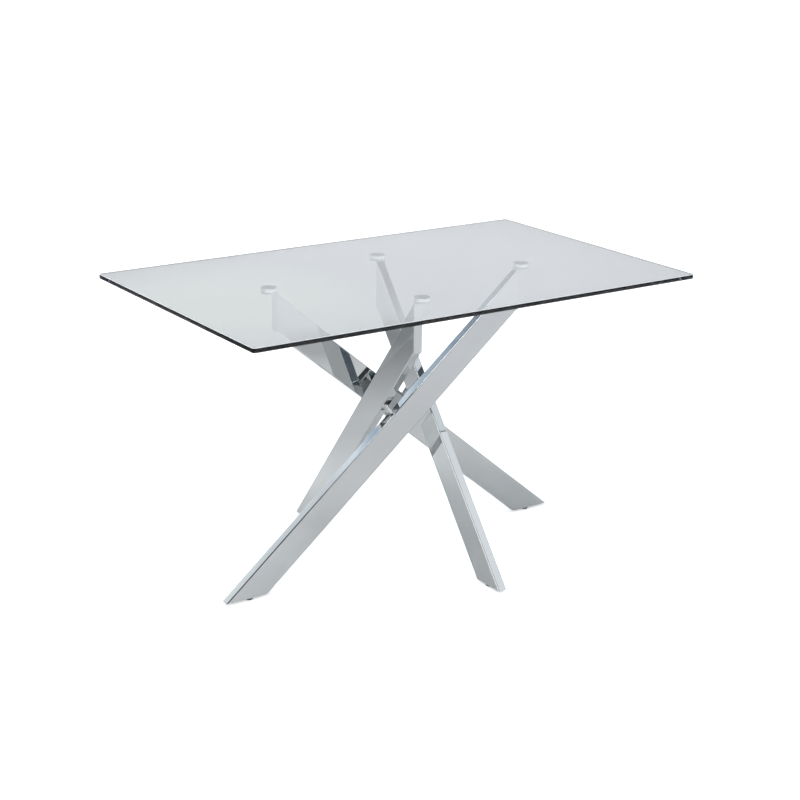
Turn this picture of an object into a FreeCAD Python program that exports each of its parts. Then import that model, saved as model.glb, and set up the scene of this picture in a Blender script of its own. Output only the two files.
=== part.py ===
import FreeCAD, Part
import math
import os

# Dining table: a glass sheet on four crossed rectangular tubes.
# Millimetres. Origin on the floor below the middle of the table, +X along the long side, +Z up.

Vector = FreeCAD.Vector
Z_AXIS = Vector(0, 0, 1)

# Glass top
TOP_LENGTH = 1300.0
TOP_WIDTH = 800.0
TOP_HEIGHT = 765.0
GLASS_THICKNESS = 12.0
GLASS_CORNER_RADIUS = 9.0
GLASS_EDGE_CHAMFER = 1.2

# Leg tube
TUBE_WIDTH = 75.0
TUBE_THICKNESS = 25.0
TUBE_WALL = 1.5
TUBE_CORNER_RADIUS = 3.0

# Leg ends
FOOT_GAP = 6.0
TIP_HEIGHT = 739.0
CAP_THICKNESS = 3.0
FOOT_PLATE_THICKNESS = 3.0

# Where the legs stand. "run" counts along a leg's own upward direction, from the table's middle.
# A long leg runs along X and a short leg along Y. "offset" is the leg's plane, to its left.
LONG_LEG = {"offset": -59.5, "foot_run": -553.9, "end_run": 332.5}
SHORT_LEG = {"offset": -77.0, "foot_run": -375.5, "end_run": 201.2}
LEGS = {
    "left": (LONG_LEG, 0.0),
    "back": (SHORT_LEG, -90.0),
    "right": (LONG_LEG, 180.0),
    "front": (SHORT_LEG, 90.0),
}

# Disc between leg and glass
DISC_OVERHANG = 15.5
PLATE_RADIUS = 20.0
PLATE_THICKNESS = 5.0
FLANGE_RADIUS = 23.0
FLANGE_THICKNESS = 2.0
SCREW_RADIUS = 3.9
SCREW_HOLE_RADIUS = 4.0
SCREW_HEAD_RADIUS = 7.8
SCREW_DEPTH = 6.0
SCREW_KEY = 5.0
SCREW_KEY_DEPTH = 2.8

# Levelling glide
GLIDE_PLACE = 0.41
PAD_RADIUS = 10.0
PAD_HEIGHT = 5.6
PAD_CHAMFER = 1.2
STEM_RADIUS = 4.0
STEM_CLEARANCE = 0.05
STEM_TOP = 34.0
STEM_CHAMFER = 0.8
BALL_RADIUS = 3.0
BALL_DEPTH = 3.0
NUT_RADIUS = 7.0
NUT_HEIGHT = 13.0
NUT_FLANGE_RADIUS = 9.0
NUT_FLANGE_THICKNESS = 1.5
PLATE_HOLE_RADIUS = 4.6

# Bolted crossing
POST_RADIUS = 6.0
POST_STOCK = 40.0
BOLT_RADIUS = 3.0
BOLT_REACH = 13.0
BOLT_HEAD_RADIUS = 5.2
BOLT_HEAD_HEIGHT = 3.3
BOLT_KEY = 4.0
BOLT_KEY_DEPTH = 2.2
WASHER_RADIUS = 6.5
WASHER_THICKNESS = 1.6
BOLT_HOLE_RADIUS = 3.3
ACCESS_HOLE_RADIUS = 7.0
PLUG_FLANGE_RADIUS = 9.0
PLUG_FLANGE_THICKNESS = 1.2
PLUG_DEPTH = 6.0
PLUG_WALL = 1.2

# Welded crossing
WELD_REACH = 9.0

GLASS_UNDERSIDE = TOP_HEIGHT - GLASS_THICKNESS

# Sizes of cutting tools, only larger than what they cut
LONG = 2000.0
THROUGH = 60.0


def cylinder(radius, low, height, axis=Z_AXIS):
    return Part.makeCylinder(radius, height, low, axis)


def hexagon(across_flats, low, height, axis=Z_AXIS):
    """Prism of a hex key socket, starting at low and running along axis."""
    radius = across_flats / math.sqrt(3.0)
    corners = []
    for i in range(7):
        angle = math.radians(60.0 * i)
        corners.append(Vector(radius * math.cos(angle), radius * math.sin(angle), 0))
    prism = Part.Face(Part.makePolygon(corners)).extrude(Vector(0, 0, height))
    prism.Placement = FreeCAD.Placement(low, FreeCAD.Rotation(Z_AXIS, axis))
    return prism


def block(low, high):
    size = high - low
    return Part.makeBox(size.x, size.y, size.z, low)


def edges_along(shape, direction):
    """Straight edges of a shape that run along a direction."""
    found = []
    for edge in shape.Edges:
        span = edge.Vertexes[-1].Point - edge.Vertexes[0].Point
        if span.Length > 0 and span.cross(direction).Length < 1e-6 * span.Length:
            found.append(edge)
    return found


def rounded_bar(length, thickness, width, radius):
    """Bar along X, its top face at z = 0, its long edges rounded."""
    bar = Part.makeBox(length, thickness, width, Vector(0, -thickness / 2, -width))
    return bar.makeFillet(radius, edges_along(bar, Vector(1, 0, 0)))


class Leg:
    """One leg in its own frame: it rises along +X in the plane y = offset."""

    def __init__(self, spec, heading):
        self.offset = spec["offset"]
        self.foot = spec["foot_run"]
        self.end = spec["end_run"]
        self.heading = heading
        self.slope = math.atan2(TIP_HEIGHT - FOOT_GAP, self.end - self.foot)
        self.up = Vector(-math.sin(self.slope), 0, math.cos(self.slope))
        self.cut_length = TUBE_WIDTH / math.sin(self.slope)
        self.end_height = TUBE_WIDTH / math.cos(self.slope)

    def place(self, shape):
        """Turn a shape from the leg's frame into the table's frame."""
        placed = shape.copy()
        placed.rotate(Vector(0, 0, 0), Z_AXIS, self.heading)
        return placed

    def top_face_height(self, run):
        return FOOT_GAP + (run - self.foot) * math.tan(self.slope)

    def bar(self, inset):
        """Untrimmed bar of the tube's outline, inset by a wall thickness."""
        thickness = TUBE_THICKNESS - 2 * inset
        width = TUBE_WIDTH - 2 * inset
        solid = rounded_bar(LONG, thickness, width, TUBE_CORNER_RADIUS - inset)
        solid.translate(Vector(-LONG / 4, self.offset, -inset))
        solid.rotate(Vector(0, 0, 0), Vector(0, 1, 0), -math.degrees(self.slope))
        solid.translate(Vector(self.foot, 0, FOOT_GAP))
        return solid

    def slab(self, run_low, run_high, z_low, z_high):
        side = TUBE_THICKNESS
        low = Vector(run_low, self.offset - side, z_low)
        return block(low, Vector(run_high, self.offset + side, z_high))

    def outline(self):
        """The tube as a full bar, cut level at the foot and upright at the top."""
        room = self.slab(-LONG, self.end - CAP_THICKNESS, FOOT_GAP, LONG)
        return self.bar(0).common(room)

    def cavity(self, z_high):
        return self.bar(TUBE_WALL).common(self.slab(-LONG, LONG, FOOT_GAP, z_high))

    def tube(self):
        return self.outline().cut(self.bar(TUBE_WALL))

    def cap(self):
        """Plate over the tube's upper end, level with the tip."""
        start = self.end - CAP_THICKNESS
        drop = self.end_height + CAP_THICKNESS * math.tan(self.slope)
        half = TUBE_THICKNESS / 2
        low = Vector(start, self.offset - half, TIP_HEIGHT - drop)
        plate = block(low, Vector(self.end, self.offset + half, TIP_HEIGHT))
        return plate.makeFillet(TUBE_CORNER_RADIUS, edges_along(plate, Vector(1, 0, 0)))

    def glide_point(self, height):
        """Point on the glide's axis. The heel is the lower end of the foot's level cut."""
        heel = self.foot + self.cut_length
        return Vector(heel - GLIDE_PLACE * self.cut_length, self.offset, height)

    def foot_plate(self):
        plate = self.cavity(FOOT_GAP + FOOT_PLATE_THICKNESS)
        return plate.cut(cylinder(PLATE_HOLE_RADIUS, self.glide_point(0), THROUGH))

    def foot_nut(self):
        base = self.glide_point(FOOT_GAP + FOOT_PLATE_THICKNESS)
        nut = cylinder(NUT_RADIUS, base, NUT_HEIGHT)
        nut = nut.fuse(cylinder(NUT_FLANGE_RADIUS, base, NUT_FLANGE_THICKNESS)).removeSplitter()
        return nut.cut(cylinder(STEM_RADIUS + STEM_CLEARANCE, self.glide_point(0), THROUGH))

    def glide_pad(self):
        pad = cylinder(PAD_RADIUS, self.glide_point(0), PAD_HEIGHT)
        rims = [edge for edge in pad.Edges if isinstance(edge.Curve, Part.Circle)]
        pad = pad.makeChamfer(PAD_CHAMFER, rims)
        socket_floor = PAD_HEIGHT - BALL_DEPTH - STEM_CLEARANCE
        socket = cylinder(BALL_RADIUS + STEM_CLEARANCE, self.glide_point(socket_floor), PAD_HEIGHT)
        return pad.cut(socket)

    def glide_stem(self):
        foot = cylinder(BALL_RADIUS, self.glide_point(PAD_HEIGHT - BALL_DEPTH), BALL_DEPTH + 1)
        screw_start = PAD_HEIGHT + STEM_CLEARANCE
        screw = cylinder(STEM_RADIUS, self.glide_point(screw_start), STEM_TOP - screw_start)
        tip = [edge for edge in screw.Edges if edge.BoundBox.ZMin > STEM_TOP - STEM_CHAMFER]
        return screw.makeChamfer(STEM_CHAMFER, tip).fuse(foot).removeSplitter()

    def disc_point(self, height):
        return Vector(self.end + DISC_OVERHANG, self.offset, height)

    def disc_plate(self):
        """Round plate on the leg's tip, countersunk from below."""
        plate = cylinder(PLATE_RADIUS, self.disc_point(TIP_HEIGHT), PLATE_THICKNESS)
        return plate.cut(self.screw_head().fuse(self.screw_shank(SCREW_HOLE_RADIUS)))

    def screw_head(self):
        height = SCREW_HEAD_RADIUS - SCREW_RADIUS
        low = self.disc_point(TIP_HEIGHT)
        return Part.makeCone(SCREW_HEAD_RADIUS, SCREW_RADIUS, height, low, Z_AXIS)

    def screw_shank(self, radius):
        return cylinder(radius, self.disc_point(TIP_HEIGHT), PLATE_THICKNESS + SCREW_DEPTH)

    def disc_screw(self):
        screw = self.screw_head().fuse(self.screw_shank(SCREW_RADIUS)).removeSplitter()
        return screw.cut(hexagon(SCREW_KEY, self.disc_point(TIP_HEIGHT), SCREW_KEY_DEPTH))

    def glass_disc(self):
        """Stepped disc: a wide flange bonded to the glass, a body below it."""
        low = self.disc_point(TIP_HEIGHT + PLATE_THICKNESS)
        body = cylinder(PLATE_RADIUS, low, GLASS_UNDERSIDE - low.z)
        flange_low = self.disc_point(GLASS_UNDERSIDE - FLANGE_THICKNESS)
        disc = body.fuse(cylinder(FLANGE_RADIUS, flange_low, FLANGE_THICKNESS)).removeSplitter()
        return disc.cut(self.screw_shank(SCREW_HOLE_RADIUS))


class BoltedCrossing:
    """A post stands square on the lower leg's top face and reaches the upper leg's underside.

    Everything here is in the lower leg's frame. The upper leg crosses at upper_run, and the
    post leans back along the lower leg, so it starts further up the slope than it ends.
    """

    def __init__(self, lower, upper_outline, upper_run, gap_at_middle):
        self.lower = lower
        self.upper_outline = upper_outline
        slope = math.tan(lower.slope)
        lead = gap_at_middle * slope / (1 + slope * slope)
        run = upper_run + lead
        self.base = Vector(run, lower.offset, lower.top_face_height(run))

    def point(self, height):
        """Point on the post's axis, counted from the lower leg's top face."""
        return self.base + self.lower.up * height

    def rod(self, radius, low, high):
        return cylinder(radius, self.point(low), high - low, self.lower.up)

    def holes(self):
        """Bolt hole in the lower leg's top wall, and key hole in the wall opposite."""
        bolt_hole = self.rod(BOLT_HOLE_RADIUS, -2 * TUBE_WALL, TUBE_WALL)
        key_hole = self.rod(ACCESS_HOLE_RADIUS, -TUBE_WIDTH - TUBE_WALL, -TUBE_WIDTH + 2 * TUBE_WALL)
        return bolt_hole.fuse(key_hole)

    def post(self):
        post = self.rod(POST_RADIUS, 0, POST_STOCK).cut(self.upper_outline)
        return post.cut(self.rod(BOLT_RADIUS, 0, BOLT_REACH))

    def washer(self):
        ring = self.rod(WASHER_RADIUS, -TUBE_WALL - WASHER_THICKNESS, -TUBE_WALL)
        return ring.cut(self.rod(BOLT_HOLE_RADIUS, -TUBE_WIDTH, 0))

    def bolt(self):
        seat = -TUBE_WALL - WASHER_THICKNESS
        head = self.rod(BOLT_HEAD_RADIUS, seat - BOLT_HEAD_HEIGHT, seat)
        bolt = head.fuse(self.rod(BOLT_RADIUS, seat, BOLT_REACH)).removeSplitter()
        socket = hexagon(BOLT_KEY, self.point(seat - BOLT_HEAD_HEIGHT), BOLT_KEY_DEPTH, self.lower.up)
        return bolt.cut(socket)

    def plug(self):
        """Hollow push-in plug: a thin round cover and a collar inside the key hole."""
        cover_low = -TUBE_WIDTH - PLUG_FLANGE_THICKNESS
        cover = self.rod(PLUG_FLANGE_RADIUS, cover_low, -TUBE_WIDTH)
        collar = self.rod(ACCESS_HOLE_RADIUS, -TUBE_WIDTH, -TUBE_WIDTH + PLUG_DEPTH)
        collar = collar.cut(self.rod(ACCESS_HOLE_RADIUS - PLUG_WALL, -TUBE_WIDTH, 0))
        return cover.fuse(collar).removeSplitter()


def glass_top():
    low = Vector(-TOP_LENGTH / 2, -TOP_WIDTH / 2, GLASS_UNDERSIDE)
    sheet = block(low, Vector(TOP_LENGTH / 2, TOP_WIDTH / 2, TOP_HEIGHT))
    sheet = sheet.makeFillet(GLASS_CORNER_RADIUS, edges_along(sheet, Z_AXIS))
    rims = [edge for edge in sheet.Edges if edge.BoundBox.ZLength < 1e-6]
    return sheet.makeChamfer(GLASS_EDGE_CHAMFER, rims)


def crossing_weld(lower_outline, upper_outline):
    """Weld metal in the wedge between two legs that touch at a corner.

    The two legs cut a column at their shared corner into three: below, between and above them.
    """
    half = TUBE_THICKNESS / 2
    lower_x = lower_outline.BoundBox.Center.x
    upper_y = upper_outline.BoundBox.Center.y
    corner_x = lower_x - math.copysign(half, lower_x)
    corner_y = upper_y - math.copysign(half, upper_y)
    far_x = corner_x + math.copysign(WELD_REACH, lower_x)
    far_y = corner_y + math.copysign(WELD_REACH, upper_y)
    column_low = Vector(min(corner_x, far_x), min(corner_y, far_y), 0)
    column_high = Vector(max(corner_x, far_x), max(corner_y, far_y), TOP_HEIGHT)
    column = block(column_low, column_high).cut(upper_outline).cut(lower_outline)
    wedges = sorted(column.Solids, key=lambda solid: solid.BoundBox.ZMin)
    return wedges[1]


def bolted_crossings(legs, outlines):
    """The left leg passes under the back leg, and the right leg under the front leg."""
    crossings = {}
    for lower_name, upper_name in (("left", "back"), ("right", "front")):
        lower = legs[lower_name]
        upper = legs[upper_name]
        upper_outline = outlines[upper_name].copy()
        upper_outline.rotate(Vector(0, 0, 0), Z_AXIS, -lower.heading)
        upper_run = upper.offset
        underside = upper.top_face_height(-lower.offset) - upper.end_height
        gap = underside - lower.top_face_height(upper_run)
        crossings[lower_name] = BoltedCrossing(lower, upper_outline, upper_run, gap)
    return crossings


def build():
    legs = {name: Leg(spec, heading) for name, (spec, heading) in LEGS.items()}
    outlines = {name: leg.place(leg.outline()) for name, leg in legs.items()}
    crossings = bolted_crossings(legs, outlines)
    nodes = {"glass_top": glass_top()}
    for name, leg in legs.items():
        tube = leg.tube()
        if name in crossings:
            tube = tube.cut(crossings[name].holes())
        pieces = {
            "leg": tube,
            "leg_cap": leg.cap(),
            "foot_plate": leg.foot_plate(),
            "foot_nut": leg.foot_nut(),
            "glide_pad": leg.glide_pad(),
            "glide_stem": leg.glide_stem(),
            "disc_plate": leg.disc_plate(),
            "disc_screw": leg.disc_screw(),
            "glass_disc": leg.glass_disc(),
        }
        for piece, shape in pieces.items():
            nodes[f"{piece}_{name}"] = leg.place(shape)
    for name, crossing in crossings.items():
        pieces = {
            "crossing_post": crossing.post(),
            "crossing_bolt": crossing.bolt(),
            "crossing_washer": crossing.washer(),
            "access_plug": crossing.plug(),
        }
        for piece, shape in pieces.items():
            nodes[f"{piece}_{name}"] = crossing.lower.place(shape)
    nodes["crossing_weld_front"] = crossing_weld(outlines["front"], outlines["left"])
    nodes["crossing_weld_back"] = crossing_weld(outlines["back"], outlines["right"])
    return nodes


def export(nodes):
    os.makedirs("parts", exist_ok=True)
    for name, shape in nodes.items():
        solids = shape.Solids
        if len(solids) != 1 or not solids[0].isValid():
            raise ValueError(f"{name} has {len(solids)} solids")
        solids[0].exportStep(f"parts/{name}.step")
        print(f"{name}: {solids[0].Volume / 1000:.2f} cm3")


export(build())
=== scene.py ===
import math

import bmesh
import bpy
from mathutils import Matrix, Vector


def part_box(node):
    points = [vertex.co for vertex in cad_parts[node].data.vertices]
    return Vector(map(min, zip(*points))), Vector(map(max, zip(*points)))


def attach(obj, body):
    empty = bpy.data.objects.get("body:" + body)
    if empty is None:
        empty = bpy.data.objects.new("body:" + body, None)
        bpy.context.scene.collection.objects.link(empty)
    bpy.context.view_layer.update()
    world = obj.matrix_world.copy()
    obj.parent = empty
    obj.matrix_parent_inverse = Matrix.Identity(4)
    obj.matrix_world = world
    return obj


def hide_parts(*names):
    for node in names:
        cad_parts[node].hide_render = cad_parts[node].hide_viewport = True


# Glass-top dining table: the pieces that show, their materials, the light and the camera.
# Metres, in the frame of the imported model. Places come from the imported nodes' boxes.

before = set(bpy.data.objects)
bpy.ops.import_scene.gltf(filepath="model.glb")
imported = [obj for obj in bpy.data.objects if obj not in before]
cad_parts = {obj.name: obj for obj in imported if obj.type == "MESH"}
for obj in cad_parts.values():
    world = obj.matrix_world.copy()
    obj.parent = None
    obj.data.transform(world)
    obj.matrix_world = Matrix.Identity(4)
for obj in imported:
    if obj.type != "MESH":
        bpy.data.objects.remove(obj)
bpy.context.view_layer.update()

MM = 0.001
UP = Vector((0, 0, 1))

# Headings of the legs: each rises along +X once it is turned back by its heading.
HEADINGS = {"left": 0, "back": -90, "right": 180, "front": 90}

# Sizes that the boxes don't give
TUBE_WIDTH = 75 * MM
TUBE_WALL = 1.5 * MM
TUBE_CORNER = 3 * MM
GLASS_CORNER = 9 * MM
GLASS_ARRIS = 1.2 * MM
PLATE_HOLE_RADIUS = 4.6 * MM
BOLT_HOLE_RADIUS = 3.3 * MM
BOLT_RADIUS = 3 * MM
BOLT_REACH = 13 * MM
KEY_HOLE_RADIUS = 7 * MM
PLUG_DEPTH = 6 * MM
THREAD_PITCH = 1.25 * MM
THREAD_DEPTH = 0.7 * MM
BONDED_RIM = 3 * MM
SCREW_KEY = 5 * MM
SCREW_KEY_DEPTH = 2.8 * MM
FLANGE_THICKNESS = 2 * MM
BOND_GAP = 0.01 * MM

ROUND_STEPS = 72
CORNER_STEPS = 8
CREASE_ANGLE = 40

# The camera's place, its aim in degrees, and its lens in millimetres
CAMERA_PLACE = (-2.3866, -3.5192, 1.8059)
CAMERA_HEADING = 34.24
CAMERA_DIP = 17.98
CAMERA_ROLL = 0.69
CAMERA_LENS = 76.88
CAMERA_SENSOR = 36
CAMERA_SIGHT = 200

# Studio floor: its tones, a painted pool of light that falls off with distance from its centre, and
# what the camera sees of it
FLOOR_RADIUS = 90
FLOOR_SEEN = (0.85, 0.85, 0.85)
FLOOR_LIFT = 0.55
PAINTED_LIGHT_CENTRE = (0.6, -1.2)
FLOOR_REACH = 4.0
FLOOR_PAINTED_FALLOFF = (
    (0.30, (0.69, 0.695, 0.70)),
    (0.64, (0.67, 0.675, 0.68)),
    (0.73, (0.50, 0.505, 0.51)),
    (0.84, (0.31, 0.315, 0.32)),
    (1.00, (0.26, 0.27, 0.27)),
)
# Painted light and painted shade on the floor: lighter and darker spots, as (place, full within,
# gone
# # beyond, colour). Each is where one part of the table mirrors the floor, or where the floor shows
# through the glass.
FLOOR_PAINTED_SPOTS = (
    ((-0.48, -0.22), 0.20, 0.45, (0.93, 0.94, 0.94)),
    ((0.16, 0.50), 0.45, 0.85, (0.88, 0.89, 0.885)),
    ((0.42, 0.84), 0.15, 0.35, (0.98, 0.99, 0.98)),
    ((1.60, -2.00), 0.50, 1.60, (0.76, 0.765, 0.78)),
    ((1.75, 2.50), 0.70, 1.90, (0.435, 0.44, 0.445)),
    ((0.85, 2.50), 0.30, 0.80, (0.50, 0.53, 0.485)),
    ((-1.45, 2.28), 0.35, 0.62, (0.60, 0.605, 0.61)),
    ((-1.57, -2.55), 0.30, 0.60, (0.95, 0.955, 0.96)),
    ((-1.46, -1.72), 0.15, 0.38, (0.47, 0.475, 0.48)),
    ((0.85, -1.71), 0.10, 0.28, (0.54, 0.545, 0.55)),
)

# Sky tones by the sine of the elevation, as shares of the strength. The front's give way to the
# back's between two values of the direction's Y.
SKY_STRENGTH = 1.5
FRONT_ENDS = -0.2
BACK_STARTS = 0.25
BACK_SKY = (
    (0.00, (0.71, 0.72, 0.73)),
    (0.20, (0.82, 0.83, 0.84)),
    (0.40, (0.87, 0.88, 0.89)),
    (0.48, (0.72, 0.76, 0.79)),
    (0.53, (0.58, 0.62, 0.66)),
    (0.550, (0.58, 0.62, 0.67)),
    (0.562, (0.70, 0.77, 0.85)),
    (0.571, (0.32, 0.42, 0.54)),
    (0.578, (0.28, 0.38, 0.50)),
    (0.585, (0.78, 0.86, 0.96)),
    (0.592, (0.42, 0.50, 0.60)),
    (0.600, (0.38, 0.47, 0.57)),
    (0.612, (0.28, 0.35, 0.43)),
    (0.630, (0.06, 0.07, 0.09)),
    (1.00, (0.15, 0.18, 0.26)),
)
FRONT_SKY = (
    (0.00, (0.74, 0.75, 0.76)),
    (0.55, (0.69, 0.72, 0.76)),
    (0.75, (0.69, 0.72, 0.76)),
    (0.85, (1.00, 1.00, 1.00)),
    (1.00, (0.90, 0.90, 0.90)),
)
# Round patches of the sky, as (azimuth, elevation, full within, gone beyond, colour), in degrees
# with the azimuth from +Y towards +X: the dark room behind the camera, three soft lights, a
# dark gap in the ceiling to the right, and the less bright part of the wall that the glass mirrors
SKY_PATCHES = (
    (225, 28, 42, 52, (0.05, 0.05, 0.06)),
    (235, 66, 8, 12, (4.5, 4.5, 4.5)),
    (258, 22, 9, 12, (3.0, 3.0, 3.0)),
    (0, 89, 14, 19, (3.7, 3.7, 3.7)),
    (129, 60, 13, 16, (0.07, 0.08, 0.09)),
    (34, 13.5, 15, 21, (0.705, 0.71, 0.72)),
)


# ---------------------------------------------------------------- geometry

def turned_box(node, heading):
    """A node's box once it is turned back by a heading."""
    turn = Matrix.Rotation(math.radians(-heading), 3, "Z")
    one, other = (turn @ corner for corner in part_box(node))
    return Vector(map(min, one, other)), Vector(map(max, one, other))


def rounded_rectangle(width, height, radius, steps):
    """Points round a rectangle centred on the origin, its corners as arcs."""
    points = []
    for quarter, (side_x, side_y) in enumerate(((1, 1), (-1, 1), (-1, -1), (1, -1))):
        middle = Vector((side_x * (width / 2 - radius), side_y * (height / 2 - radius)))
        for i in range(steps + 1):
            angle = math.radians(90) * (quarter + i / steps)
            points.append(middle + radius * Vector((math.cos(angle), math.sin(angle))))
    return points


def rounded(corners, steps=5):
    """A line through corners of (radius, height, fillet), with each fillet as an arc."""
    line = [Vector(corners[0][:2])]
    for before, corner, after in zip(corners, corners[1:], corners[2:]):
        here = Vector(corner[:2])
        fillet = corner[2]
        if not fillet:
            line.append(here)
            continue
        back = (Vector(before[:2]) - here).normalized()
        ahead = (Vector(after[:2]) - here).normalized()
        half = back.angle(ahead) / 2
        middle = here + (back + ahead).normalized() * fillet / math.sin(half)
        start = here + back * fillet / math.tan(half) - middle
        end = here + ahead * fillet / math.tan(half) - middle
        sweep = start.angle(end)
        for i in range(steps + 1):
            share = i / steps
            weight_start = math.sin((1 - share) * sweep) / math.sin(sweep)
            weight_end = math.sin(share * sweep) / math.sin(sweep)
            line.append(middle + start * weight_start + end * weight_end)
    line.append(Vector(corners[-1][:2]))
    return line


def circle(radius, height, sides=0):
    """Ring of points round Z. With sides, it is a polygon whose corners are at the radius."""
    ring = []
    for i in range(ROUND_STEPS):
        angle = math.tau * i / ROUND_STEPS
        reach = radius
        if sides:
            half = math.pi / sides
            reach = radius * math.cos(half) / math.cos((angle % (2 * half)) - half)
        ring.append(Vector((reach * math.cos(angle), reach * math.sin(angle), height)))
    return ring


def loft(bm, rings, closed=False):
    """Faces between rings of the same number of points. Closed joins the last to the first."""
    rows = [[bm.verts.new(point) for point in ring] for ring in rings]
    following = rows[1:] + rows[:1] if closed else rows[1:]
    for row, next_row in zip(rows, following):
        for i, vert in enumerate(row):
            j = (i + 1) % len(row)
            bm.faces.new((vert, row[j], next_row[j], next_row[i]))
    if not closed:
        bm.faces.new(rows[0][::-1])
        bm.faces.new(rows[-1])


def lathe(bm, line):
    """Solid of revolution round Z under a line of (radius, height) points, with flat ends."""
    loft(bm, [circle(radius, height) for radius, height in line])


def standing(point, axis=UP):
    """Matrix that puts the origin at a point and turns Z to an axis."""
    return Matrix.Translation(point) @ UP.rotation_difference(axis).to_matrix().to_4x4()


def soften(obj, width):
    """Small round on every edge that is a crease."""
    bevel = obj.modifiers.new("edge_break", "BEVEL")
    bevel.width = width
    bevel.segments = 2
    bevel.limit_method = "ANGLE"
    bevel.angle_limit = math.radians(CREASE_ANGLE)
    bevel.harden_normals = False


def piece(name, bm, material, body, slot, *nodes, smooth_angle=30):
    """Turns a bmesh into a piece of the table that rides on a body and stands for CAD nodes."""
    bmesh.ops.recalc_face_normals(bm, faces=bm.faces)
    mesh = bpy.data.meshes.new(name)
    bm.to_mesh(mesh)
    bm.free()
    mesh.shade_smooth()
    mesh.set_sharp_from_angle(angle=math.radians(smooth_angle))
    mesh.materials.append(material)
    obj = bpy.data.objects.new(name, mesh)
    bpy.context.scene.collection.objects.link(obj)
    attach(obj, body)
    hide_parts(*nodes)
    return obj


def weight_normals(obj):
    """Lets the large flat faces set the shading, so that they reflect as flat."""
    modifier = obj.modifiers.new("flat_faces", "WEIGHTED_NORMAL")
    modifier.keep_sharp = True
    modifier.weight = 100


def drill(obj, holes):
    """Cuts round holes of (point, axis, radius, length), each centred on its point."""
    bm = bmesh.new()
    for point, axis, radius, length in holes:
        part = bmesh.new()
        lathe(part, [Vector((radius, -length / 2)), Vector((radius, length / 2))])
        part.transform(standing(point, axis))
        tool_mesh = bpy.data.meshes.new("drill")
        part.to_mesh(tool_mesh)
        part.free()
        bm.from_mesh(tool_mesh)
        bpy.data.meshes.remove(tool_mesh)
    bmesh.ops.recalc_face_normals(bm, faces=bm.faces)
    mesh = bpy.data.meshes.new("drills")
    bm.to_mesh(mesh)
    bm.free()
    tool = bpy.data.objects.new("drills", mesh)
    bpy.context.scene.collection.objects.link(tool)
    cut = obj.modifiers.new("holes", "BOOLEAN")
    cut.operation = "DIFFERENCE"
    cut.solver = "EXACT"
    cut.object = tool
    bpy.context.view_layer.update()
    evaluated = obj.evaluated_get(bpy.context.evaluated_depsgraph_get())
    drilled = bpy.data.meshes.new_from_object(evaluated)
    obj.modifiers.remove(cut)
    obj.data = drilled
    drilled.set_sharp_from_angle(angle=math.radians(30))
    bpy.data.objects.remove(tool)


# ---------------------------------------------------------------- materials

def colour_ramp(tree, value, stops):
    """Colour ramp node of a tree, with stops of (position, colour)."""
    node = tree.nodes.new("ShaderNodeValToRGB")
    elements = node.color_ramp.elements
    while len(elements) < len(stops):
        elements.new(0.5)
    for element, (position, colour) in zip(elements, stops):
        element.position = position
        element.color = (*colour, 1)
    tree.links.new(value, node.inputs["Fac"])
    return node.outputs["Color"]


def colour_mix(tree, share, first, second):
    """Colour that goes from a first to a second with a share. Each is a socket or a fixed colour."""
    node = tree.nodes.new("ShaderNodeMix")
    node.data_type = "RGBA"
    tree.links.new(share, node.inputs["Factor"])
    colours = [socket for socket in node.inputs if socket.type == "RGBA"]
    for socket, colour in zip(colours, (first, second)):
        if isinstance(colour, tuple):
            socket.default_value = (*colour, 1)
        else:
            tree.links.new(colour, socket)
    return next(socket for socket in node.outputs if socket.type == "RGBA")


def shown_to_camera(tree, mirrored, direct):
    """Shader that the camera sees directly as one, while every other ray meets another."""
    path = tree.nodes.new("ShaderNodeLightPath")
    mix = tree.nodes.new("ShaderNodeMixShader")
    tree.links.new(path.outputs["Is Camera Ray"], mix.inputs[0])
    tree.links.new(mirrored, mix.inputs[1])
    tree.links.new(direct, mix.inputs[2])
    return mix.outputs["Shader"]


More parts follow.
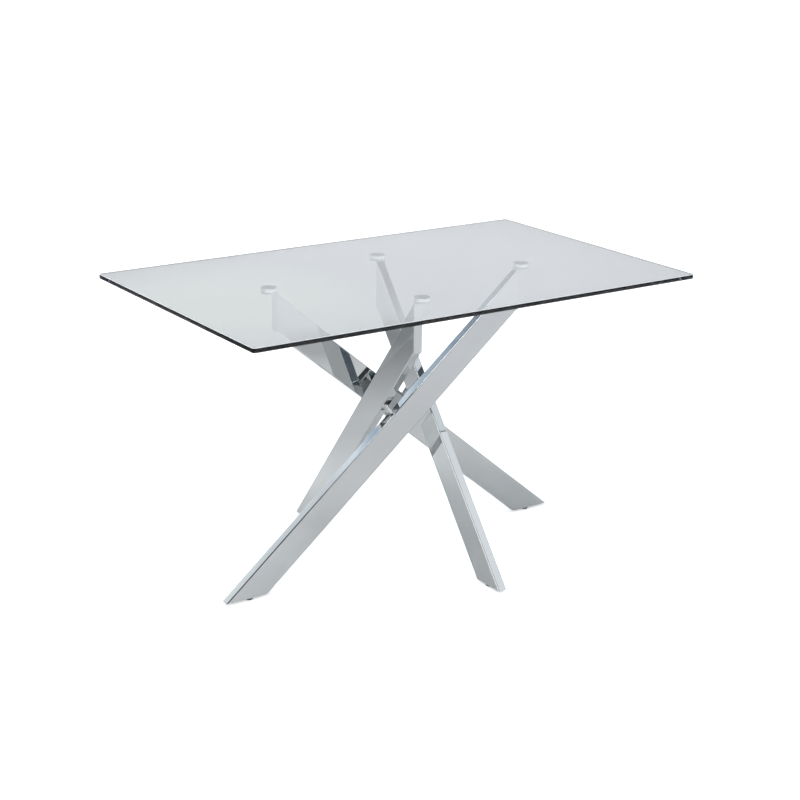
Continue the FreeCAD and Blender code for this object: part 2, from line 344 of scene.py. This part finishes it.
class Nodes:
    """Short calls for a material's node tree."""

    def __init__(self, name):
        self.material = bpy.data.materials.new(name)
        self.material.use_nodes = True
        self.tree = self.material.node_tree
        self.shader = self.tree.nodes["Principled BSDF"]
        self.place = self.add("ShaderNodeTexCoord").outputs["Object"]

    def add(self, kind, **inputs):
        node = self.tree.nodes.new(kind)
        for name, value in inputs.items():
            node.inputs[name.replace("_", " ").title()].default_value = value
        return node

    def link(self, source, target):
        self.tree.links.new(source, target)

    def noise(self, scale, detail=2.0, stretch=(1, 1, 1)):
        """Noise value over the object, with scale in features per metre."""
        mapping = self.add("ShaderNodeMapping")
        mapping.inputs["Scale"].default_value = stretch
        self.link(self.place, mapping.inputs["Vector"])
        texture = self.add("ShaderNodeTexNoise", scale=scale, detail=detail)
        self.link(mapping.outputs["Vector"], texture.inputs["Vector"])
        return texture.outputs["Fac"]

    def ramp(self, value, stops):
        """Colour that runs through stops of (position, colour) with a value."""
        return colour_ramp(self.tree, value, stops)

    def distance(self, point, nearest, farthest):
        """Share from 0 to 1 as the distance from a point of the floor goes between two limits."""
        measure = self.add("ShaderNodeVectorMath")
        measure.operation = "DISTANCE"
        measure.inputs[1].default_value = (*point, 0)
        self.link(self.place, measure.inputs[0])
        spread = self.add("ShaderNodeMapRange", from_min=nearest, from_max=farthest)
        self.link(measure.outputs["Value"], spread.inputs["Value"])
        return spread.outputs["Result"]

    def colours(self, value, low, high):
        """Base colour that goes from low to high with a value."""
        colour = self.ramp(value, ((0.3, low), (0.7, high)))
        self.link(colour, self.shader.inputs["Base Color"])

    def roughness(self, value, low, high):
        spread = self.add("ShaderNodeMapRange", from_min=0.3, from_max=0.7, to_min=low, to_max=high)
        self.link(value, spread.inputs["Value"])
        self.link(spread.outputs["Result"], self.shader.inputs["Roughness"])

    def bump(self, *layers):
        """Bump from layers of (value, height in metres), one on top of the other."""
        normal = None
        for value, height in layers:
            node = self.add("ShaderNodeBump", strength=1.0, distance=height)
            self.link(value, node.inputs["Height"])
            if normal:
                self.link(normal, node.inputs["Normal"])
            normal = node.outputs["Normal"]
        self.link(normal, self.shader.inputs["Normal"])


def chrome():
    """Bright plate on steel tube: faint waves of the tube, finer polish marks on top."""
    nodes = Nodes("chrome_plate")
    nodes.shader.inputs["Metallic"].default_value = 1.0
    waves = nodes.noise(9, detail=1)
    haze = nodes.noise(5, detail=2)
    nodes.colours(haze, (0.585, 0.600, 0.597), (0.630, 0.642, 0.638))
    nodes.roughness(haze, 0.018, 0.034)
    nodes.bump((waves, 0.00005), (nodes.noise(900, detail=3), 0.0000003))
    return nodes.material


def turned_steel():
    """Polished turned steel: a fine haze of noise in its colour, roughness and bump."""
    nodes = Nodes("turned_steel")
    nodes.shader.inputs["Metallic"].default_value = 1.0
    haze = nodes.noise(120, detail=4)
    nodes.colours(haze, (0.90, 0.92, 0.92), (0.95, 0.97, 0.97))
    nodes.roughness(haze, 0.07, 0.12)
    nodes.bump((nodes.noise(2500, detail=2), 0.000001))
    return nodes.material


def bonded_face():
    """The disc's face inside its bonded rim: very dark, and clouded a little."""
    nodes = Nodes("bonded_face")
    nodes.shader.inputs["Metallic"].default_value = 1.0
    cloud = nodes.noise(260, detail=3)
    nodes.colours(cloud, (0.045, 0.048, 0.050), (0.075, 0.079, 0.082))
    nodes.roughness(cloud, 0.22, 0.36)
    nodes.bump((cloud, 0.00001))
    return nodes.material


def zinc_steel():
    """Zinc-plated hardware: grey, satin, slightly clouded."""
    nodes = Nodes("zinc_plate")
    nodes.shader.inputs["Metallic"].default_value = 1.0
    cloud = nodes.noise(300, detail=5)
    nodes.colours(cloud, (0.50, 0.50, 0.48), (0.62, 0.62, 0.59))
    nodes.roughness(cloud, 0.28, 0.42)
    nodes.bump((nodes.noise(1500, detail=4), 0.00001))
    return nodes.material


def black_plastic():
    """Moulded black plastic with a fine spark-eroded texture."""
    nodes = Nodes("moulded_black_plastic")
    cloud = nodes.noise(200, detail=3)
    nodes.colours(cloud, (0.010, 0.010, 0.011), (0.020, 0.020, 0.022))
    nodes.roughness(cloud, 0.42, 0.55)
    nodes.bump((nodes.noise(2200, detail=4), 0.00003))
    return nodes.material


def clear_glass():
    """Float glass: the slight roller wave of tempering, and the tint that shows through edges."""
    nodes = Nodes("float_glass")
    shader = nodes.shader
    shader.inputs["Transmission Weight"].default_value = 1.0
    shader.inputs["IOR"].default_value = 1.52
    shader.inputs["Roughness"].default_value = 0.0
    film = nodes.noise(9, detail=3)
    nodes.colours(film, (0.975, 0.985, 0.985), (1.0, 1.0, 1.0))
    nodes.bump((nodes.noise(5, detail=0, stretch=(1, 0.2, 1)), 0.00002))
    absorb = nodes.add("ShaderNodeVolumeAbsorption")
    absorb.inputs["Color"].default_value = (0.25, 0.40, 0.55, 1)
    absorb.inputs["Density"].default_value = 10.0
    output = nodes.tree.nodes["Material Output"]
    nodes.link(absorb.outputs["Volume"], output.inputs["Volume"])
    return nodes.material


def upper_arris_painted_highlight():
    """The sheet's upper arris: ground with a fine wheel, so satin; its white is partly the grind's
    frosting and partly a painted highlight of the sky on the upper edge.
    """
    nodes = Nodes("ground_arris_painted_highlight")
    grind = nodes.noise(1800, detail=2)
    nodes.colours(grind, (0.80, 0.84, 0.85), (0.92, 0.94, 0.95))
    nodes.roughness(grind, 0.35, 0.5)
    nodes.bump((grind, 0.00001))
    return nodes.material


def painted_shade_arris():
    """The sheet's lower arris: ground too, but painted near black as painted shade, carrying the
    dark band of the sheet's edge over it.
    """
    nodes = Nodes("painted_shade_arris")
    grain = nodes.noise(700, detail=3)
    nodes.colours(grain, (0.030, 0.036, 0.040), (0.060, 0.068, 0.072))
    nodes.roughness(grain, 0.40, 0.55)
    nodes.bump((grain, 0.00002))
    return nodes.material


def studio_floor():
    """Matt floor of a light grey under the sky's light, its colour painted with a pool of light that
    darkens far from one place and with painted lighter and darker spots. Where the camera sees it
    directly, it is lifted to plain white, so that only glass and chrome show this painted light and
    shade."""
    nodes = Nodes("studio_floor")
    # Painted light: the base colour darkens with distance from the pool's centre.
    tone = nodes.ramp(nodes.distance(PAINTED_LIGHT_CENTRE, 0, FLOOR_REACH), FLOOR_PAINTED_FALLOFF)
    # Lays the painted lighter and darker spots over the painted falloff.
    for place, within, reach, colour in FLOOR_PAINTED_SPOTS:
        tone = colour_mix(nodes.tree, nodes.distance(place, within, reach), colour, tone)
    nodes.link(tone, nodes.shader.inputs["Base Color"])
    nodes.roughness(nodes.noise(0.7, detail=4), 0.8, 0.9)
    nodes.shader.inputs["Specular IOR Level"].default_value = 0.0
    shown = nodes.add("ShaderNodeBsdfDiffuse")
    shown.inputs["Color"].default_value = (*FLOOR_SEEN, 1)
    lift = nodes.add("ShaderNodeEmission", strength=FLOOR_LIFT)
    both = nodes.add("ShaderNodeAddShader")
    nodes.link(shown.outputs["BSDF"], both.inputs[0])
    nodes.link(lift.outputs["Emission"], both.inputs[1])
    surface = shown_to_camera(nodes.tree, nodes.shader.outputs["BSDF"], both.outputs["Shader"])
    nodes.link(surface, nodes.tree.nodes["Material Output"].inputs["Surface"])
    return nodes.material


CHROME = chrome()
TURNED_STEEL = turned_steel()
BONDED = bonded_face()
ZINC = zinc_steel()
BLACK = black_plastic()
GLASS = clear_glass()
ARRIS = upper_arris_painted_highlight()
LOWER_ARRIS_PAINTED_SHADE = painted_shade_arris()


# ---------------------------------------------------------------- glass top

def glass_sheet():
    """Clear sheet with rounded corners, and a ground arris along both edges of its rim: the upper
    one whitish with a painted highlight, the lower one painted dark as shade.
    """
    low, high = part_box("glass_top")
    middle = (low + high) / 2
    size = high - low
    half = size.z / 2
    profile = rounded([
        (-2 * GLASS_ARRIS, -half, 0),
        (-GLASS_ARRIS, -half, 0.3 * MM),
        (0, GLASS_ARRIS - half, 0.5 * MM),
        (0, half - GLASS_ARRIS, 0.5 * MM),
        (-GLASS_ARRIS, half, 0.3 * MM),
        (-2 * GLASS_ARRIS, half, 0),
    ], steps=3)
    rings = []
    for out, height in profile:
        outline = rounded_rectangle(size.x + 2 * out, size.y + 2 * out, GLASS_CORNER + out, 14)
        rings.append([middle + Vector((x, y, height)) for x, y in outline])
    bm = bmesh.new()
    loft(bm, rings)
    sheet = piece("glass_sheet", bm, GLASS, "root", "glass", "glass_top", smooth_angle=40)
    sheet.data.materials.append(ARRIS)
    sheet.data.materials.append(LOWER_ARRIS_PAINTED_SHADE)
    upright = 0.2
    level = 0.98
    # Upper arris faces take the ground arris with its painted highlight, lower arris faces the
    # painted shade.
    for face in sheet.data.polygons:
        if upright < face.normal.z < level:
            face.material_index = 1
        elif -level < face.normal.z < -upright:
            face.material_index = 2


# ---------------------------------------------------------------- legs

class Leg:
    """One leg in its own frame, where it rises along +X, read from its packed box."""

    def __init__(self, name):
        self.name = name
        self.heading = HEADINGS[name]
        self.low, self.high = turned_box("leg_" + name, self.heading)
        self.offset = (self.low.y + self.high.y) / 2
        self.thickness = self.high.y - self.low.y
        rise = self.high.z - self.low.z
        self.slope = math.atan2(rise, self.high.x - self.low.x)
        self.along = Vector((math.cos(self.slope), 0, math.sin(self.slope)))
        self.up = Vector((-math.sin(self.slope), 0, math.cos(self.slope)))
        self.foot = Vector((self.low.x, self.offset, self.low.z))
        self.turn = Matrix.Rotation(math.radians(self.heading), 4, "Z")

    def outline(self, inset):
        """Points of the tube's section, as (sideways, below the top face)."""
        width = TUBE_WIDTH - 2 * inset
        thickness = self.thickness - 2 * inset
        section = rounded_rectangle(thickness, width, TUBE_CORNER - inset, CORNER_STEPS)
        return [Vector((side, rise - TUBE_WIDTH / 2)) for side, rise in section]

    def level_cut(self, inset, height):
        """The section's outline where a level plane cuts the tube."""
        ring = []
        for side, rise in self.outline(inset):
            base = self.foot + Vector((0, side, 0)) + self.up * rise
            ring.append(base + self.along * ((height - base.z) / self.along.z))
        return ring

    def upright_cut(self, inset, run):
        """The section's outline where an upright plane cuts the tube."""
        ring = []
        for side, rise in self.outline(inset):
            base = self.foot + Vector((0, side, 0)) + self.up * rise
            ring.append(base + self.along * ((run - base.x) / self.along.x))
        return ring

    def place(self, bm):
        bm.transform(self.turn)

    def tube(self):
        """Hollow tube, level at the foot and upright at the top end."""
        bm = bmesh.new()
        loft(bm, [
            self.level_cut(0, self.low.z),
            self.upright_cut(0, self.high.x),
            self.upright_cut(TUBE_WALL, self.high.x),
            self.level_cut(TUBE_WALL, self.low.z),
        ], closed=True)
        self.place(bm)
        return piece("leg_tube_" + self.name, bm, CHROME, "root", "chrome", "leg_" + self.name)

    def cap(self):
        """Plate that closes the tube's top end, its corners like the tube's."""
        low, high = turned_box("leg_cap_" + self.name, self.heading)
        size = high - low
        middle = (low + high) / 2
        bm = bmesh.new()
        rings = []
        for run in (low.x, high.x):
            ring = []
            for side, rise in rounded_rectangle(size.y, size.z, TUBE_CORNER, CORNER_STEPS):
                ring.append(Vector((run, middle.y + side, middle.z + rise)))
            rings.append(ring)
        loft(bm, rings)
        self.place(bm)
        cap = piece("end_cap_" + self.name, bm, CHROME, "root", "chrome", "leg_cap_" + self.name)
        soften(cap, 0.35 * MM)
        weight_normals(cap)

    def foot_plate(self):
        """Plate welded inside the foot, with a hole for the glide's stem."""
        low, high = turned_box("foot_plate_" + self.name, self.heading)
        bm = bmesh.new()
        loft(bm, [self.level_cut(TUBE_WALL, low.z), self.level_cut(TUBE_WALL, high.z)])
        self.place(bm)
        node = "foot_plate_" + self.name
        plate = piece("foot_closure_" + self.name, bm, CHROME, "root", "zinc_steel", node)
        axis_point = (sum(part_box("glide_stem_" + self.name), Vector())) / 2
        axis_point.z = low.z
        drill(plate, [(axis_point, UP, PLATE_HOLE_RADIUS, 20 * MM)])
        soften(plate, 0.2 * MM)


# ---------------------------------------------------------------- glides

def round_place(node, height=None):
    """Middle of a round upright node, at its lowest point or at a height."""
    low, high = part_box(node)
    middle = (low + high) / 2
    middle.z = low.z if height is None else height
    return middle


def glide_pad(name):
    """Black pad with a socket on top for the stem's ball end."""
    node = "glide_pad_" + name
    low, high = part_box(node)
    radius = (high.x - low.x) / 2
    height = high.z - low.z
    chamfer = 1.2 * MM
    socket = 3.05 * MM
    socket_floor = 2.55 * MM
    line = rounded([
        (0.4 * MM, 0.3 * MM, 0),
        (1.2 * MM, 0, 0.2 * MM),
        (radius - chamfer, 0, 0.4 * MM),
        (radius, chamfer, 0.6 * MM),
        (radius, height - chamfer, 0.6 * MM),
        (radius - chamfer, height, 0.6 * MM),
        (socket + 0.8 * MM, height, 0.3 * MM),
        (socket, height - 0.5 * MM, 0.2 * MM),
        (socket, socket_floor, 0.4 * MM),
        (0.3 * MM, socket_floor, 0),
    ])
    bm = bmesh.new()
    lathe(bm, line)
    bm.transform(standing(round_place(node)))
    piece("levelling_pad_" + name, bm, BLACK, "glide_" + name, "black_plastic", node)


def thread_rows(low, high, crest):
    """Rings of a right-hand thread from low to high, and how many of them make one pitch. Each
    follows the helix. The thread's shape is given as (share of the pitch, radius)."""
    root = crest - THREAD_DEPTH
    shape = ((0.0, root), (0.12, root), (0.44, crest), (0.56, crest), (0.88, root))
    turns = int((high - low) / THREAD_PITCH) + 2
    rows = []
    for turn in range(-1, turns):
        for share, radius in shape:
            row = []
            for i in range(ROUND_STEPS):
                angle = math.tau * i / ROUND_STEPS
                height = low + THREAD_PITCH * (turn + share + i / ROUND_STEPS)
                inside = low < height < high
                fade = min(height - low, high - height) / THREAD_PITCH
                reach = root + (radius - root) * max(0.0, min(1.0, 2 * fade)) if inside else root
                height = max(low, min(high, height))
                row.append(Vector((reach * math.cos(angle), reach * math.sin(angle), height)))
            rows.append(row)
    return rows, len(shape)


def threaded_rod(bm, low, high, crest):
    """Solid rod with a helical thread: the last column of a row meets the row one pitch up."""
    rows, pitch_rows = thread_rows(low, high, crest)
    verts = [[bm.verts.new(point) for point in row] for row in rows]
    count = len(verts)
    for j in range(count - 1):
        for i in range(ROUND_STEPS):
            if i < ROUND_STEPS - 1:
                corners = (verts[j][i], verts[j][i + 1], verts[j + 1][i + 1], verts[j + 1][i])
            elif j + 1 + pitch_rows < count:
                start = j + pitch_rows
                corners = (verts[j][i], verts[start][0], verts[start + 1][0], verts[j + 1][i])
            else:
                continue
            bm.faces.new(corners)
    bmesh.ops.remove_doubles(bm, verts=bm.verts, dist=1e-7)
    bmesh.ops.dissolve_degenerate(bm, dist=1e-7, edges=bm.edges)
    bmesh.ops.holes_fill(bm, edges=[edge for edge in bm.edges if edge.is_boundary])


def glide_stem(name):
    """Threaded stem whose ball end sits in the pad."""
    node = "glide_stem_" + name
    low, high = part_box(node)
    crest = (high.x - low.x) / 2
    pad_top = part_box("glide_pad_" + name)[1].z
    place = round_place(node, 0)
    bm = bmesh.new()
    threaded_rod(bm, pad_top + 0.05 * MM, high.z, crest)
    neck = bmesh.new()
    ball = 3 * MM
    lathe(neck, rounded([
        (0.5 * MM, low.z, 0),
        (ball, low.z, 1.2 * MM),
        (ball, pad_top + 0.3 * MM, 0),
        (1 * MM, pad_top + 0.3 * MM, 0),
    ]))
    mesh = bpy.data.meshes.new("neck")
    neck.to_mesh(mesh)
    neck.free()
    bm.from_mesh(mesh)
    bpy.data.meshes.remove(mesh)
    bm.transform(Matrix.Translation(place))
    piece("levelling_screw_" + name, bm, ZINC, "stem_" + name, "zinc_steel", node)


# ---------------------------------------------------------------- discs

def glass_disc(name):
    """Stepped disc under the glass: a body, and a wider flange that is bonded inside its rim."""
    node = "glass_disc_" + name
    low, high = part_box(node)
    flange = (high.x - low.x) / 2
    plate_low, plate_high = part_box("disc_plate_" + name)
    body = (plate_high.x - plate_low.x) / 2
    step = high.z - FLANGE_THICKNESS
    face = high.z - BOND_GAP
    bore = 4 * MM
    bm = bmesh.new()
    loft(bm, [circle(radius, height) for radius, height in rounded([
        (bore, low.z, 0),
        (body, low.z, 0.5 * MM),
        (body, step, 0.4 * MM),
        (flange, step, 0.3 * MM),
        (flange, high.z, 0.3 * MM),
        (flange - BONDED_RIM, face, 0),
        (bore, face, 0),
        (bore, high.z - 1 * MM, 0),
    ])])
    bm.transform(Matrix.Translation(round_place(node, 0)))
    disc = piece("disc_under_glass_" + name, bm, TURNED_STEEL, "root", "disc_steel", node)
    disc.data.materials.append(BONDED)
    axis = round_place(node, high.z)
    for polygon in disc.data.polygons:
        inside = (polygon.center - axis).length < flange - BONDED_RIM
        if inside and polygon.normal.z > 0.9:
            polygon.material_index = 1


def disc_plate(name):
    """Round plate on the leg's tip, countersunk from below."""
    node = "disc_plate_" + name
    low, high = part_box(node)
    radius = (high.x - low.x) / 2
    head = 7.8 * MM
    hole = 4 * MM
    bm = bmesh.new()
    loft(bm, [circle(reach, height) for reach, height in rounded([
        (head + 0.1 * MM, low.z, 0),
        (radius, low.z, 0.6 * MM),
        (radius, high.z, 0.5 * MM),
        (hole, high.z, 0.2 * MM),
        (hole, low.z + head - hole, 0),
        (head + 0.1 * MM, low.z, 0),
    ])][:-1], closed=True)
    bm.transform(Matrix.Translation(round_place(node, 0)))
    piece("mounting_plate_" + name, bm, CHROME, "root", "chrome", node)


def disc_screw(name):
    """Countersunk screw with a hexagon socket, its head level with the plate's underside."""
    node = "disc_screw_" + name
    low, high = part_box(node)
    head = (high.x - low.x) / 2
    shank = 3.9 * MM
    corner = SCREW_KEY / math.sqrt(3)
    floor = low.z + SCREW_KEY_DEPTH
    bm = bmesh.new()
    loft(bm, [
        circle(0.2 * MM, floor + 0.8 * MM),
        circle(corner * 0.9, floor, 6),
        circle(corner, floor - 0.2 * MM, 6),
        circle(corner, low.z + 0.3 * MM, 6),
        circle(corner + 0.25 * MM, low.z + 0.05 * MM, 6),
        circle(head - 0.5 * MM, low.z),
        circle(head - 0.1 * MM, low.z + 0.15 * MM),
        circle(head - 0.15 * MM, low.z + 0.3 * MM),
        circle(shank, low.z + head - shank),
        circle(shank, high.z - 0.6 * MM),
        circle(shank - 0.6 * MM, high.z),
    ])
    bm.transform(Matrix.Translation(round_place(node, 0)))
    piece("countersunk_screw_" + name, bm, ZINC, "root", "zinc_steel", node)


# ---------------------------------------------------------------- crossings

class BoltedCrossing:
    """Post on the lower leg's top face, and the plug over the key hole opposite it."""

    def __init__(self, lower, upper):
        self.lower = lower
        self.upper = upper
        post_low, post_high = turned_box("crossing_post_" + lower.name, lower.heading)
        self.radius = (post_high.y - post_low.y) / 2
        run = post_high.x - self.radius * lower.along.x
        height = post_low.z + self.radius * lower.along.z
        self.base = Vector((run, lower.offset, height))

    def holes(self):
        """Bolt hole in the top wall and key hole in the wall opposite."""
        turn = self.lower.turn.to_3x3()
        axis = turn @ self.lower.up
        opposite = self.base - self.lower.up * TUBE_WIDTH
        return [
            (turn @ self.base, axis, BOLT_HOLE_RADIUS, 4 * TUBE_WALL),
            (turn @ opposite, axis, KEY_HOLE_RADIUS, 4 * TUBE_WALL),
        ]

    def post(self):
        """Round post with a bore for the bolt and a chamfered foot. It is cut to the slant of the
        upper leg's underside, where it flares as a weld does."""
        turn = self.lower.turn.to_3x3()
        upper_turn = self.upper.turn.to_3x3()
        under = upper_turn @ (self.upper.foot - self.upper.up * TUBE_WIDTH)
        normal = upper_turn @ self.upper.up
        base = turn @ self.base
        axis = turn @ self.lower.up
        stand = standing(base, axis)
        chamfer = 0.6 * MM
        foot = (
            (BOLT_RADIUS, BOLT_REACH),
            (BOLT_RADIUS, 0),
            (self.radius - chamfer, 0),
            (self.radius, chamfer),
        )
        weld = (
            (self.radius, 2 * MM),
            (self.radius + 0.5 * MM, 0.8 * MM),
            (self.radius + 1.6 * MM, 0),
        )
        rings = []
        for reach, height in foot:
            rings.append([stand @ point for point in circle(reach, height)])
        for reach, short in weld:
            ring = []
            for point in circle(reach, 0):
                start = stand @ point
                length = (under - start).dot(normal) / axis.dot(normal)
                ring.append(start + axis * (length - short))
            rings.append(ring)
        bm = bmesh.new()
        loft(bm, rings)
        node = "crossing_post_" + self.lower.name
        piece("post_" + self.lower.name, bm, CHROME, "root", "chrome", node)

    def plug(self):
        """Domed plastic plug in the key hole."""
        turn = self.lower.turn.to_3x3()
        place = turn @ (self.base - self.lower.up * TUBE_WIDTH)
        node = "access_plug_" + self.lower.name
        low, high = turned_box(node, self.lower.heading)
        flange = (high.y - low.y) / 2
        cover = 1.2 * MM
        bm = bmesh.new()
        lathe(bm, rounded([
            (flange * 0.45, cover, 0),
            (flange * 0.9, cover * 0.8, 0),
            (flange, cover * 0.35, 0.3 * MM),
            (flange, 0, 0),
            (KEY_HOLE_RADIUS - 0.1 * MM, 0, 0.1 * MM),
            (KEY_HOLE_RADIUS - 0.1 * MM, -PLUG_DEPTH, 0.5 * MM),
            (KEY_HOLE_RADIUS - 1.2 * MM, -PLUG_DEPTH, 0.2 * MM),
            (KEY_HOLE_RADIUS - 1.2 * MM, -0.5 * MM, 0.2 * MM),
            (1 * MM, -0.5 * MM, 0),
        ]))
        bm.transform(standing(place, turn @ -self.lower.up))
        piece("key_hole_plug_" + self.lower.name, bm, BLACK, "root", "black_plastic", node)


# ---------------------------------------------------------------- stage

def camera():
    """Camera in front of the table, to its left and above its top."""
    data = bpy.data.cameras.new("camera")
    data.sensor_width = CAMERA_SENSOR
    data.lens = CAMERA_LENS
    data.clip_end = CAMERA_SIGHT
    obj = bpy.data.objects.new("camera", data)
    bpy.context.scene.collection.objects.link(obj)
    place = Matrix.Translation(CAMERA_PLACE)
    heading = Matrix.Rotation(math.radians(-CAMERA_HEADING), 4, "Z")
    dip = Matrix.Rotation(math.radians(90 - CAMERA_DIP), 4, "X")
    roll = Matrix.Rotation(math.radians(CAMERA_ROLL), 4, "Z")
    obj.matrix_world = place @ heading @ dip @ roll
    bpy.context.scene.camera = obj


def floor():
    """Round floor that reaches past everything that the camera sees."""
    bm = bmesh.new()
    bmesh.ops.create_circle(bm, cap_ends=True, segments=96, radius=FLOOR_RADIUS)
    mesh = bpy.data.meshes.new("floor")
    bm.to_mesh(mesh)
    bm.free()
    mesh.materials.append(studio_floor())
    obj = bpy.data.objects.new("floor", mesh)
    bpy.context.scene.collection.objects.link(obj)


def sky_patch(tree, direction, under, patch):
    """Lays a round patch of (azimuth, elevation, full within, gone beyond, colour) on a colour."""
    *angles, colour = patch
    azimuth, elevation, inner, outer = (math.radians(angle) for angle in angles)
    middle = Vector((math.sin(azimuth), math.cos(azimuth), math.tan(elevation))).normalized()
    towards = tree.nodes.new("ShaderNodeVectorMath")
    towards.operation = "DOT_PRODUCT"
    towards.inputs[1].default_value = middle
    tree.links.new(direction, towards.inputs[0])
    edge = tree.nodes.new("ShaderNodeMapRange")
    edge.interpolation_type = "SMOOTHSTEP"
    edge.inputs["From Min"].default_value = math.cos(outer)
    edge.inputs["From Max"].default_value = math.cos(inner)
    tree.links.new(towards.outputs["Value"], edge.inputs["Value"])
    return colour_mix(tree, edge.outputs["Result"], under, colour)


def sky():
    """Soft studio: bright walls up to about 35 degrees, then a dim ceiling at the back and a lit
    one at the front, with patches. The camera sees plain white."""
    world = bpy.data.worlds.new("studio")
    bpy.context.scene.world = world
    world.use_nodes = True
    tree = world.node_tree
    direction = tree.nodes.new("ShaderNodeTexCoord").outputs["Generated"]
    split = tree.nodes.new("ShaderNodeSeparateXYZ")
    tree.links.new(direction, split.inputs["Vector"])
    back = colour_ramp(tree, split.outputs["Z"], BACK_SKY)
    front = colour_ramp(tree, split.outputs["Z"], FRONT_SKY)
    turn = tree.nodes.new("ShaderNodeMapRange")
    turn.interpolation_type = "SMOOTHSTEP"
    turn.inputs["From Min"].default_value = FRONT_ENDS
    turn.inputs["From Max"].default_value = BACK_STARTS
    tree.links.new(split.outputs["Y"], turn.inputs["Value"])
    colour = colour_mix(tree, turn.outputs["Result"], front, back)
    for patch in SKY_PATCHES:
        colour = sky_patch(tree, direction, colour, patch)
    light = tree.nodes["Background"]
    light.inputs["Strength"].default_value = SKY_STRENGTH
    tree.links.new(colour, light.inputs["Color"])
    white = tree.nodes.new("ShaderNodeBackground")
    white.inputs["Color"].default_value = (1, 1, 1, 1)
    surface = shown_to_camera(tree, light.outputs["Background"], white.outputs["Background"])
    tree.links.new(surface, tree.nodes["World Output"].inputs["Surface"])


def dress(nodes, material):
    """Gives CAD nodes that stay as they are their material."""
    for name in nodes:
        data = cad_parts[name].data
        data.materials.clear()
        data.materials.append(material)


# ---------------------------------------------------------------- build

camera()
floor()
sky()
bpy.context.scene.view_settings.view_transform = "Standard"

glass_sheet()
legs = {name: Leg(name) for name in HEADINGS}
crossings = {
    "left": BoltedCrossing(legs["left"], legs["back"]),
    "right": BoltedCrossing(legs["right"], legs["front"]),
}
for name, leg in legs.items():
    tube = leg.tube()
    if name in crossings:
        drill(tube, crossings[name].holes())
    soften(tube, 0.25 * MM)
    weight_normals(tube)
    leg.cap()
    leg.foot_plate()
    glide_pad(name)
    glide_stem(name)
    glass_disc(name)
    disc_plate(name)
    disc_screw(name)
for crossing in crossings.values():
    crossing.post()
    crossing.plug()

dress(["crossing_weld_front", "crossing_weld_back"], CHROME)
dress(["foot_nut_" + name for name in HEADINGS], ZINC)
for part in ("crossing_bolt_", "crossing_washer_"):
    dress([part + name for name in crossings], ZINC)
